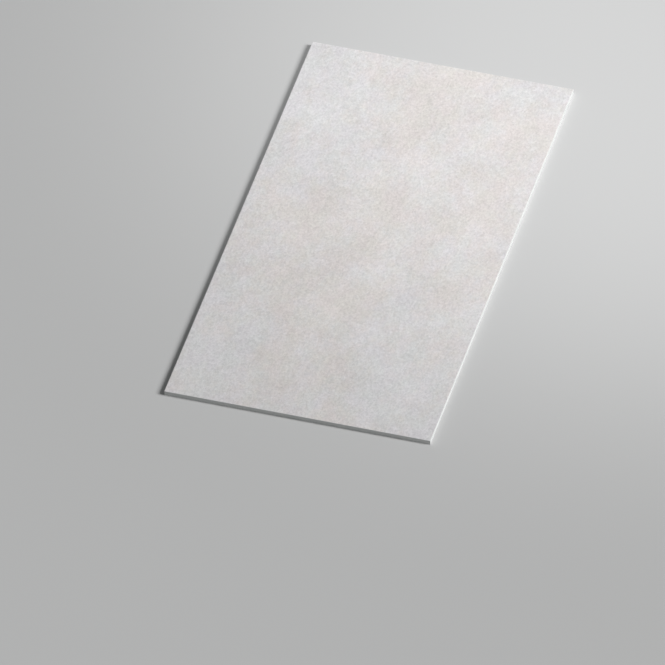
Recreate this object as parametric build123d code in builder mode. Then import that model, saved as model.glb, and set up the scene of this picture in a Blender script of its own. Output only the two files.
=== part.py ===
from build123d import *
import os

# A fibre cement board, one flat sheet of stock. Wet films of cement and fibre are laid
# on each other until the sheet is thick enough, then it is pressed, cured hard and
# trimmed square on all four sides, so it has no core, skin or joint.
# Millimetres. +Z is up, +Y runs along the sheet, and the origin is the middle of the
# underside, which the sheet lies on.

# The trimmed sheet
sheet_width = 1220
sheet_length = 2440
sheet_thickness = 22

# The upright corners, blunted where two saw cuts meet
corner_radius = 1.5

# The arrises: rounded by the sander round the face, and only bevelled round the back,
# which is left as it came off the felt
face_arris_radius = 1.0
back_arris_leg = 0.6

with BuildPart() as board:
    with BuildSketch(Plane.XY) as trimmed_outline:
        Rectangle(sheet_width, sheet_length)
        fillet(trimmed_outline.vertices(), radius=corner_radius)
    extrude(amount=sheet_thickness)
    fillet(board.faces().sort_by(Axis.Z)[-1].edges(), radius=face_arris_radius)
    chamfer(board.faces().sort_by(Axis.Z)[0].edges(), length=back_arris_leg)
board.part.label = "board"

os.makedirs("parts", exist_ok=True)
export_step(board.part, "parts/board.step")
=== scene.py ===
import math

import bmesh
import bpy
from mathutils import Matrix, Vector


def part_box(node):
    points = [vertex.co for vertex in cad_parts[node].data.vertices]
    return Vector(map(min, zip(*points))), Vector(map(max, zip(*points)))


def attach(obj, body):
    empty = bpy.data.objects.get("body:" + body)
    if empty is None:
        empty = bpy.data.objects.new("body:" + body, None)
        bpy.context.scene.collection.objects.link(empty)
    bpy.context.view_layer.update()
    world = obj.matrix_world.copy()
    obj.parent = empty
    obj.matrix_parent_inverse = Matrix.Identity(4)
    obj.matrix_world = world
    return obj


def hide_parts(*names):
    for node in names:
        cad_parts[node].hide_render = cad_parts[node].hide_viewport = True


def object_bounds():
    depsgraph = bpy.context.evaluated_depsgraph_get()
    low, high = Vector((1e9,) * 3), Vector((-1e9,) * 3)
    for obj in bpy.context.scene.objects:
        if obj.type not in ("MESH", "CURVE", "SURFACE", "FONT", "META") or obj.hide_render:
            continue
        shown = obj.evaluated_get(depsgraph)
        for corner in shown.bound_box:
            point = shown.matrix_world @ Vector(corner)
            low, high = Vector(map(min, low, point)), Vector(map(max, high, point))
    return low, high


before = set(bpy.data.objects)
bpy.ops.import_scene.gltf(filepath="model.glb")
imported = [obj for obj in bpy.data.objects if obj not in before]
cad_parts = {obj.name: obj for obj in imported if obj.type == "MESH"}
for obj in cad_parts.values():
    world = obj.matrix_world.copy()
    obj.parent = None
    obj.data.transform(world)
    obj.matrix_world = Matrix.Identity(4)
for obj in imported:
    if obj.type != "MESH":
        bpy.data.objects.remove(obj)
cad_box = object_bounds()

# Camera: looks down on the sheet from its near right corner. The lens is so long that
# parallel edges stay parallel, and the aim puts the near end where the picture has it.
picture_side = 665
metre_in_pixels = 226.9
near_right_corner_pixel = Vector((430.4, 441.0))
camera_azimuth = math.radians(15.55)
camera_elevation = math.radians(42.0)
lens_mm = 1000

bpy.ops.object.camera_add()
camera = bpy.context.object
camera.data.lens = lens_mm
camera_distance = picture_side / metre_in_pixels * lens_mm / camera.data.sensor_width
towards_camera = Vector((
    math.sin(camera_azimuth) * math.cos(camera_elevation),
    -math.cos(camera_azimuth) * math.cos(camera_elevation),
    math.sin(camera_elevation),
))
camera.rotation_mode = "QUATERNION"
camera.rotation_quaternion = (-towards_camera).to_track_quat("-Z", "Y")
picture_right = camera.rotation_quaternion @ Vector((1, 0, 0))
picture_up = camera.rotation_quaternion @ Vector((0, 1, 0))
picture_middle = Vector((picture_side, picture_side)) / 2
from_middle = (near_right_corner_pixel - picture_middle) / metre_in_pixels
near_right_corner = Vector((cad_box[1].x, cad_box[0].y, cad_box[1].z))
aim = near_right_corner - picture_right * from_middle.x + picture_up * from_middle.y
camera.location = aim + towards_camera * camera_distance
camera.data.clip_end = camera_distance * 2
bpy.context.scene.camera = camera

# The sheet: one slab of fibre cement, built up in wet films, pressed, cured and trimmed
# square with a saw. The sander rounds the arris of the face, and the back has a bevel.
# Rows of faces follow its rim, because that is where a sheet gets its small nicks.
corner_radius = 0.0015
corner_steps = 3
face_arris = 0.001
face_arris_steps = 3
back_arris = 0.0006
back_arris_steps = 2
rim_rows = (0.0035, 0.009)
edge_rows = (0.003, 0.008, 0.014, 0.0185)
face_cell = 0.02
cuts_along_rim = 9
just_off = 0.0001
low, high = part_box("board")
size = high - low


def select(kind, wanted):
    """Selects, of the edges or faces in edit mode, only those that are wanted."""
    bpy.ops.mesh.select_all(action="DESELECT")
    bpy.ops.mesh.select_mode(type={"edges": "EDGE", "faces": "FACE"}[kind])
    mesh = bmesh.from_edit_mesh(bpy.context.object.data)
    for item in getattr(mesh, kind):
        item.select_set(wanted(item))
    mesh.select_flush_mode()
    bmesh.update_edit_mesh(bpy.context.object.data)


def spread(edge, axis):
    """How far apart the two ends of an edge lie along this axis."""
    return abs(edge.verts[0].co[axis] - edge.verts[1].co[axis])


def lies_at(edge, axis, place):
    """Whether both ends of an edge lie at this place on the axis."""
    return all(abs(vert.co[axis] - place) < just_off for vert in edge.verts)


def cut(axis, place):
    """Cuts the whole mesh with the plane that crosses the axis at this place."""
    bpy.ops.mesh.select_all(action="SELECT")
    point = Vector((0, 0, 0))
    normal = Vector((0, 0, 0))
    point[axis] = place
    normal[axis] = 1
    bpy.ops.mesh.bisect(plane_co=point, plane_no=normal)


def inset(point, axis):
    """How far a point lies in from the nearer of the two sides across this axis."""
    return min(point[axis] - low[axis], high[axis] - point[axis])


def follows_rim(edge, axis):
    """Whether an edge runs along this axis between a side and the last row of the rim."""
    in_rim = all(inset(vert.co, 1 - axis) < rim_rows[-1] + just_off for vert in edge.verts)
    return in_rim and spread(edge, axis) > face_cell / 2


bpy.ops.object.select_all(action="DESELECT")
bpy.ops.mesh.primitive_cube_add(size=1, location=(low + high) / 2, scale=size)
sheet = bpy.context.object
sheet.name = "fibre_cement_sheet"
bpy.ops.object.transform_apply(location=True, rotation=False, scale=True)
bpy.ops.object.mode_set(mode="EDIT")
select("edges", lambda edge: spread(edge, 2) > just_off)
bpy.ops.mesh.bevel(offset=corner_radius, segments=corner_steps)
select("edges", lambda edge: lies_at(edge, 2, high.z))
bpy.ops.mesh.bevel(offset=face_arris, segments=face_arris_steps)
select("edges", lambda edge: lies_at(edge, 2, low.z))
bpy.ops.mesh.bevel(offset=back_arris, segments=back_arris_steps)

for row in edge_rows:
    cut(2, low.z + row)
for axis in (0, 1):
    for row in rim_rows:
        cut(axis, low[axis] + row)
        cut(axis, high[axis] - row)

# The operator makes at most 100 cuts at once, so the length is halved once more at the end.
cells_across = round(size.x / face_cell)
cells_in_half_length = round(size.y / face_cell / 2)
inner_length = size.y - 2 * rim_rows[-1]
select("edges", lambda edge: spread(edge, 0) > size.x / 2)
bpy.ops.mesh.subdivide(number_cuts=cells_across - 1)
select("edges", lambda edge: spread(edge, 1) > size.y / 2)
bpy.ops.mesh.subdivide(number_cuts=cells_in_half_length - 1)
select("edges", lambda edge: spread(edge, 1) > inner_length / cells_in_half_length - just_off)
bpy.ops.mesh.subdivide(number_cuts=1)
for axis in (0, 1):
    select("edges", lambda edge: follows_rim(edge, axis))
    bpy.ops.mesh.subdivide(number_cuts=cuts_along_rim)
bpy.ops.object.mode_set(mode="OBJECT")

# The sanded face: cement grey and matt. Where the films lay a little thicker or dried
# slower it clouds into warmer and cooler greys a hand or two across, longer than they are
# wide. Over that lies a fine grain of sand, with specks, pinholes and slivers of pale fibre,
# and the colour is darkened in the pinholes as painted shade.
class Value:
    """A value that changes over the surface. Sums with it add Math nodes."""

    def __init__(self, socket):
        self.socket = socket

    def math(self, operation, first, second):
        node = self.socket.id_data.nodes.new("ShaderNodeMath")
        node.operation = operation
        connect(node, {0: first, 1: second})
        return Value(node.outputs[0])

    def __add__(self, other):
        return self.math("ADD", self, other)

    def __sub__(self, other):
        return self.math("SUBTRACT", self, other)

    def __mul__(self, other):
        return self.math("MULTIPLY", self, other)

    def __rsub__(self, other):
        return self.math("SUBTRACT", other, self)

    __radd__ = __add__
    __rmul__ = __mul__


def connect(node, sockets):
    """Links or sets a node's inputs, each given by its name or its number."""
    named = {socket.name: socket for socket in node.inputs if socket.enabled}
    for key, value in sockets.items():
        socket = named[key] if isinstance(key, str) else node.inputs[key]
        if isinstance(value, Value):
            node.id_data.links.new(value.socket, socket)
        else:
            socket.default_value = value


class Finish:
    """A material in the making, with one method that adds any node to it."""

    def __init__(self, name, specular):
        self.material = bpy.data.materials.new(name)
        self.material.use_nodes = True
        self.shader = self.material.node_tree.nodes["Principled BSDF"]
        self.shader.inputs["Specular IOR Level"].default_value = specular
        self.place = self.add("ShaderNodeTexCoord", {}, {}, "Object")

    def add(self, kind, settings, sockets, result):
        """Adds a node of this kind and gives one of its results."""
        node = self.material.node_tree.nodes.new(kind)
        for name, setting in settings.items():
            setattr(node, name, setting)
        connect(node, sockets)
        return Value(next(out for out in node.outputs if out.enabled and out.name == result))

    def moved(self, offset, scale=(1, 1, 1)):
        """The place slid along, and drawn out along the axes whose scale is small.

        An offset of its own keeps each pattern from lining up with another.
        """
        sockets = {"Vector": self.place, "Location": offset, "Scale": scale}
        return self.add("ShaderNodeMapping", {}, sockets, "Vector")

    def clouds(self, place, length, detail=2, roughness=0.6, result="Fac"):
        """Noise about 0.5 whose swells are this many metres long."""
        sockets = {"Vector": place, "Scale": 1 / length, "Detail": detail, "Roughness": roughness}
        return self.add("ShaderNodeTexNoise", {}, sockets, result)

    def between(self, value, start, end):
        """0 below the start and 1 above the end, and smooth between them."""
        sockets = {"Value": value, "From Min": start, "From Max": end}
        return self.add("ShaderNodeMapRange", {"interpolation_type": "SMOOTHSTEP"}, sockets, "Result")

    def dots(self, offset, spacing, radius, share):
        """Ragged round marks in a share of the cells that are this far apart.

        A mark is at its strongest over the solid part of its radius, and of the marked
        cells the full part have it at full strength.
        """
        solid_part = 0.5
        full_part = 0.8
        shove = self.clouds(self.place, length=radius, detail=1, roughness=0.5, result="Color")
        sockets = {0: shove, 1: (radius, radius, radius), 2: self.moved(offset)}
        place = self.add("ShaderNodeVectorMath", {"operation": "MULTIPLY_ADD"}, sockets, "Vector")
        grid = {"Vector": place, "Scale": 1 / spacing}
        near = self.add("ShaderNodeTexVoronoi", {}, grid, "Distance")
        cell = self.add("ShaderNodeTexVoronoi", {}, grid, "Color")
        chance = self.add("ShaderNodeSeparateColor", {}, {"Color": cell}, "Red")
        reach = radius / spacing
        mark = 1 - self.between(near, reach * solid_part, reach)
        return mark * self.between(chance, 1 - share, 1 - share * full_part)

    def mixed(self, factor, first, second):
        sockets = {"Factor": factor, "A": first, "B": second}
        return self.add("ShaderNodeMix", {"data_type": "RGBA"}, sockets, "Result")

    def worn(self):
        """How far the surface is rubbed or nicked, as the sheet's wear leaves it."""
        return self.add("ShaderNodeAttribute", {"attribute_name": "worn"}, {}, "Fac")

    def close(self, colour, tone, roughness, height, relief):
        """Feeds the shader: a colour times a tone about 1, and a height as relief in metres."""
        sockets = {"Vector": colour, "Scale": tone}
        toned = self.add("ShaderNodeVectorMath", {"operation": "SCALE"}, sockets, "Vector")
        bump = self.add("ShaderNodeBump", {}, {"Height": height, "Distance": relief}, "Normal")
        connect(self.shader, {"Base Color": toned, "Roughness": roughness, "Normal": bump})
        return self.material


dry_specular = 0.3
worn_pale = 0.10
face_warm = (0.614, 0.579, 0.561, 1)
face_cool = (0.619, 0.611, 0.621, 1)
green_cast = (0.989, 1.001, 0.990, 1)
pink_cast = (1.011, 0.999, 1.011, 1)
drawn_out = (1, 0.68, 1)
broad_drift_weight = 0.62
broad_drift_middle = 0.55
sliver_breadth = 0.0009
face_relief = 0.00012

# The broad drift leaves the near end of the sheet a little cooler than the rest.
face = Finish("sanded_face", dry_specular)
broad_drift = face.clouds(face.moved((9, 0, 3), drawn_out), length=0.55, detail=1)
drift = face.clouds(face.moved((3.1, 1.7, 0), drawn_out), length=0.15, detail=4, roughness=0.80)
drift = drift + broad_drift_weight * (broad_drift - broad_drift_middle)
cast = face.clouds(face.moved((7.4, 2.2, 5), drawn_out), length=0.088, detail=3)
shade = face.clouds(face.moved((1.2, 9.5, 3), drawn_out), length=0.165, detail=3, roughness=0.50)
dapple = face.clouds(face.moved((0, 0, 8), drawn_out), length=0.022, detail=2, roughness=0.5)
grain = face.clouds(face.moved((0, 0, 6), drawn_out), length=0.0081, detail=3)
sand = face.clouds(face.moved((2, 6, 1)), length=0.0016, detail=3, roughness=0.7)
streaks = face.clouds(face.moved((0, 0, 2), scale=(1, 0.03, 1)), length=0.006, detail=2, roughness=0.5)
slivers = face.clouds(face.moved((4, 4, 9), scale=(1, 0.13, 1)), length=sliver_breadth, detail=1)
slivers = face.between(slivers, 0.62, 0.72)
cross_slivers = face.clouds(face.moved((6, 1, 3), scale=(0.2, 1, 1)), length=sliver_breadth, detail=1)
cross_slivers = face.between(cross_slivers, 0.66, 0.76)
specks = face.dots((0, 0, 0), spacing=0.019, radius=0.0030, share=0.30)
glints = face.dots((5, 5, 5), spacing=0.023, radius=0.0026, share=0.25)
pinholes_with_painted_shade = face.dots((1, 8, 2), spacing=0.011, radius=0.0007, share=0.35)
hue = face.mixed(face.between(drift, 0.30, 0.70), face_cool, face_warm)
casts = face.mixed(face.between(cast, 0.38, 0.62), green_cast, pink_cast)
hue = face.add("ShaderNodeVectorMath", {"operation": "MULTIPLY"}, {0: hue, 1: casts}, "Vector")
tone = (
    1
    + 0.19 * (shade - 0.5)
    + 0.14 * (dapple - 0.5)
    + 0.59 * (grain - 0.5)
    + 0.58 * (sand - 0.5)
    + 0.05 * (streaks - 0.5)
    + 0.09 * slivers
    + 0.07 * cross_slivers
    + 0.08 * glints
    - 0.11 * specks
    # painted shade: the pinholes are darkened in the colour as well as sunk in the relief
    - 0.25 * pinholes_with_painted_shade
    + worn_pale * face.worn() * grain
)
height = (
    0.3 * grain
    + 0.3 * dapple
    + 0.35 * sand
    + 0.1 * streaks
    + 0.2 * slivers
    - 0.3 * specks
    - pinholes_with_painted_shade
)
face_material = face.close(hue, tone, roughness=0.72 + 0.2 * grain, height=height, relief=face_relief)

# The sawn edges: the same cement, cut across its films, so fine level lines run along
# them. The blade leaves faint slanting marks, pores open where it tore out sand, and the
# ends of fibres show pale. The colour is darkened in the pores as painted shade. Each run
# says how slowly a mark changes along its length.
edge_grey = (0.610, 0.625, 0.617, 1)
edge_pale = (0.651, 0.657, 0.649, 1)
film_thickness = 0.0009
film_run = 0.008
saw_pitch = 0.005
saw_slant = 0.35
saw_mark_run = 0.04
fibre_end_breadth = 0.0007
fibre_end_run = 0.2
edge_relief = 0.00014

edge = Finish("sawn_edge", dry_specular)
x, y, up = (edge.add("ShaderNodeSeparateXYZ", {}, {"Vector": edge.place}, axis) for axis in "XYZ")
along = x + y
film_place = edge.add("ShaderNodeCombineXYZ", {}, {"X": along * film_run, "Z": up}, "Vector")
saw_place = {"X": along + up * saw_slant, "Z": up * saw_mark_run}
saw_place = edge.add("ShaderNodeCombineXYZ", {}, saw_place, "Vector")
fibre_place = edge.add("ShaderNodeCombineXYZ", {}, {"X": along * fibre_end_run, "Z": up}, "Vector")
films = edge.clouds(film_place, length=film_thickness, detail=2)
film_groups = edge.clouds(film_place, length=film_thickness * 4, detail=1)
saw_marks = edge.clouds(saw_place, length=saw_pitch, detail=2)
blotches = edge.clouds(edge.place, length=0.06, detail=3)
crumbs = edge.clouds(edge.place, length=0.0022, detail=3, roughness=0.65)
fibre_ends = edge.between(edge.clouds(fibre_place, length=fibre_end_breadth, detail=1), 0.64, 0.72)
pores_with_painted_shade = edge.dots((0, 0, 0), spacing=0.0042, radius=0.0008, share=0.40)
fine_pores_with_painted_shade = edge.dots((3, 1, 4), spacing=0.0024, radius=0.0004, share=0.40)
hue = edge.mixed(edge.between(blotches, 0.35, 0.65), edge_grey, edge_pale)
tone = (
    1
    + 0.26 * (films - 0.5)
    + 0.14 * (film_groups - 0.5)
    + 0.07 * (saw_marks - 0.5)
    + 0.24 * (crumbs - 0.5)
    + 0.10 * fibre_ends
    # painted shade: the pores are darkened in the colour as well as sunk in the relief
    - 0.24 * pores_with_painted_shade
    - 0.16 * fine_pores_with_painted_shade
    + worn_pale * edge.worn() * crumbs
)
height = 0.5 * films + 0.3 * saw_marks + 0.6 * crumbs + 0.2 * fibre_ends - pores_with_painted_shade - 0.6 * fine_pores_with_painted_shade
edge_material = edge.close(hue, tone, roughness=0.80 + 0.14 * crumbs, height=height, relief=edge_relief)

# The back: never sanded. It keeps the drawn-out hairy print of the felt that carried the
# wet films, a thinner skin that is a little darker, and patches where the water left last.
back_dry = (0.500, 0.496, 0.486, 1)
back_damp = (0.452, 0.452, 0.448, 1)
back_relief = 0.00018

back = Finish("felt_marked_back", dry_specular)
patches = back.clouds(back.moved((4, 6, 1)), length=0.34, detail=4)
felt_run = back.clouds(back.moved((0, 0, 4), scale=(1, 0.18, 1)), length=0.007, detail=3)
felt_cross = back.clouds(back.moved((0, 0, 7), scale=(0.3, 1, 1)), length=0.009, detail=2)
hairs = back.clouds(back.moved((3, 5, 2), scale=(1, 0.15, 1)), length=0.0012, detail=2)
fuzz = back.clouds(back.moved((8, 2, 6)), length=0.0018, detail=2)
pits_with_painted_shade = back.dots((0, 0, 0), spacing=0.012, radius=0.0018, share=0.40)
hue = back.mixed(back.between(patches, 0.38, 0.66), back_dry, back_damp)
tone = (
    1
    + 0.24 * (felt_run - 0.5)
    + 0.14 * (felt_cross - 0.5)
    + 0.20 * (hairs - 0.5)
    + 0.26 * (fuzz - 0.5)
    # painted shade: the pits are darkened in the colour as well as sunk in the relief
    - 0.12 * pits_with_painted_shade
)
height = 0.7 * felt_run + 0.4 * felt_cross + 0.4 * hairs + 0.3 * fuzz - 0.6 * pits_with_painted_shade
back_material = back.close(hue, tone, roughness=0.82 + 0.12 * felt_run, height=height, relief=back_relief)

# The finishes on the sheet, side by side as six upright strips on the map they are baked
# to. Each edge is opened out wider than it is there, for its fine lines, and the strips
# that would come out mirrored are turned over.
map_gap = 0.012
face_width = 0.46
back_width = 0.31
edge_width = 0.034
flat_normal = 0.99
edge_normal = 0.05
strips = {
    "face": (face_width, face_material),
    "back": (back_width, back_material),
    "right": (edge_width, edge_material),
    "left": (edge_width, edge_material),
    "near": (edge_width, edge_material),
    "far": (edge_width, edge_material),
}
turned_over = ("back", "right", "near")


def strip_of(normal):
    """Names the strip that a face of the sheet goes to, by the way it points."""
    if abs(normal.z) > flat_normal:
        return "face" if normal.z > 0 else "back"
    if abs(normal.x) > abs(normal.y):
        return "right" if normal.x > 0 else "left"
    return "far" if normal.y > 0 else "near"


def across_strip(point, normal, strip):
    """Place across the strip from 0 to 1, which on an edge goes on round its arrises."""
    if strip in ("face", "back"):
        place = (point.x - low.x) / size.x
    else:
        round_arris = 0
        if abs(normal.z) > edge_normal:
            side_axis = 0 if strip in ("right", "left") else 1
            round_arris = math.copysign(inset(point, side_axis), normal.z)
        place = (point.z - low.z + round_arris + corner_radius) / (size.z + 2 * corner_radius)
    return 1 - place if strip in turned_over else place


bpy.ops.object.mode_set(mode="EDIT")
for slot, material in enumerate((face_material, edge_material, back_material)):
    sheet.data.materials.append(material)
    sheet.active_material_index = slot
    select("faces", lambda polygon: strips[strip_of(polygon.normal)][1] == material)
    bpy.ops.object.material_slot_assign()
bpy.ops.object.mode_set(mode="OBJECT")

sheet.data.uv_layers.new(name="OFBake")
bake_map = sheet.data.uv_layers["OFBake"].data
strip_starts = {}
start = map_gap
for strip in strips:
    strip_starts[strip] = start
    start += strips[strip][0] + map_gap
for polygon in sheet.data.polygons:
    strip = strip_of(polygon.normal)
    width = strips[strip][0]
    run = 0 if strip in ("near", "far") else 1
    for loop in polygon.loop_indices:
        point = sheet.data.vertices[sheet.data.loops[loop].vertex_index].co
        u = strip_starts[strip] + width * across_strip(point, polygon.normal, strip)
        v = map_gap + (1 - 2 * map_gap) * (point[run] - low[run]) / size[run]
        bake_map[loop].uv = (u, v)

# Wear: the arrises of a handled sheet have small nicks, and its sawn edges wander by a
# tenth of a millimetre. Both only take stock away, so the sheet never outgrows its size.
nick_depth = 0.0007
nick_length = 0.005
nick_share = (0.65, 0.75)
back_nick_depth = 0.0004
corner_wear_depth = 0.0004
corner_wear_reach = 0.01
corner_wear_share = (0.3, 0.7)
saw_wander_depth = 0.00015
saw_wander_length = 0.09
saw_wander_share = (0.3, 0.7)
rubbed_arris = 0.35
smooth_below = math.radians(40)


def rim_inset(point):
    """How far a point lies in from the nearest of the four sides."""
    return min(inset(point, 0), inset(point, 1))


def on_face_arris(point):
    return high.z - point.z < face_arris + just_off and rim_inset(point) < face_arris + just_off


def on_back_arris(point):
    return point.z - low.z < back_arris + just_off and rim_inset(point) < back_arris + just_off


def on_face_corner(point):
    from_corner = Vector((inset(point, 0), inset(point, 1))).length
    return on_face_arris(point) and from_corner < corner_wear_reach


def on_sawn_edge(point):
    return rim_inset(point) < just_off


def wear(name, worn_here, depth, length, share):
    """Sinks a part of the surface by a clouds pattern.

    The share gives the levels of the pattern where it starts to sink and where it is deepest.
    """
    group = sheet.vertex_groups.new(name=name)
    group.add([vert.index for vert in sheet.data.vertices if worn_here(vert.co)], 1, "REPLACE")
    pattern = bpy.data.textures.new(name, type="CLOUDS")
    pattern.noise_scale = length
    pattern.use_color_ramp = True
    for stop, place, level in zip(pattern.color_ramp.elements, share, (0, 1)):
        stop.position = place
        stop.color = (level, level, level, 1)
    sinking = sheet.modifiers.new(name, "DISPLACE")
    sinking.texture = pattern
    sinking.texture_coords = "LOCAL"
    sinking.vertex_group = name
    sinking.mid_level = 0
    sinking.strength = -depth
    bpy.ops.object.modifier_apply(modifier=name)
    sheet.vertex_groups.remove(sheet.vertex_groups[name])


unworn = [vert.co.copy() for vert in sheet.data.vertices]
wear("nicks", on_face_arris, nick_depth, nick_length, nick_share)
wear("back_nicks", on_back_arris, back_nick_depth, nick_length, nick_share)
wear("corner_wear", on_face_corner, corner_wear_depth, nick_length, corner_wear_share)
wear("saw_wander", on_sawn_edge, saw_wander_depth, saw_wander_length, saw_wander_share)
worn = sheet.data.attributes.new("worn", "FLOAT", "POINT")
for vert, was in zip(sheet.data.vertices, unworn):
    rubbed = rubbed_arris if on_face_arris(was) else 0
    worn.data[vert.index].value = min(1, rubbed + (vert.co - was).length / nick_depth)
bpy.ops.object.shade_smooth_by_angle(angle=smooth_below)

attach(sheet, "root")
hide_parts("board")

# The floor: a plain pale studio floor, wide enough that no view sees its end, and a
# little darker than the sheet that lies on it. It is a hair lower than the underside of
# the sheet, because two faces in one plane would show through each other in stripes.
floor_side = 400
floor_gap = 0.0002
floor_grey = (0.52, 0.52, 0.52, 1)
floor_specular = 0.2
floor_roughness = 0.9

bpy.ops.object.select_all(action="DESELECT")
bpy.ops.mesh.primitive_plane_add(size=floor_side, location=(0, 0, low.z - floor_gap))
floor = bpy.context.object
floor.name = "studio_floor"
paint = Finish("floor_paint", floor_specular)
connect(paint.shader, {"Base Color": floor_grey, "Roughness": floor_roughness})
floor.data.materials.append(paint.material)

# The lamps: a low broad key on the right lights the right edge most and leaves the near
# edge in its own shade, and a high soft lamp above the far half lifts that part of the face.
key_place = Vector((2.9, 0.3, 2.1))
key_strength = 3.63
key_breadth = math.radians(25)
lift_place = Vector((1.0, 1.0, 7.0))
lift_aim = Vector((1.16, 1.68, 0))
lift_watts = 898
lift_cone = math.radians(52)
lift_radius = 0.8
room_strength = 0.17
room_colour = (0.965, 1.0, 0.995, 1)


def lamp(kind, name, place, aim, **settings):
    bpy.ops.object.light_add(type=kind, location=place)
    made = bpy.context.object
    made.name = name
    made.rotation_mode = "QUATERNION"
    made.rotation_quaternion = (aim - place).to_track_quat("-Z", "Y")
    for setting, value in settings.items():
        setattr(made.data, setting, value)


lamp("SUN", "key", key_place, Vector((0, 0, 0)), energy=key_strength, angle=key_breadth)
lamp("SPOT", "lift", lift_place, lift_aim, energy=lift_watts, spot_size=lift_cone, spot_blend=1,
     shadow_soft_size=lift_radius)
world = bpy.data.worlds.new("studio")
bpy.context.scene.world = world
world.use_nodes = True
background = world.node_tree.nodes["Background"]
background.inputs["Color"].default_value = room_colour
background.inputs["Strength"].default_value = room_strength
bpy.context.scene.view_settings.view_transform = "Standard"
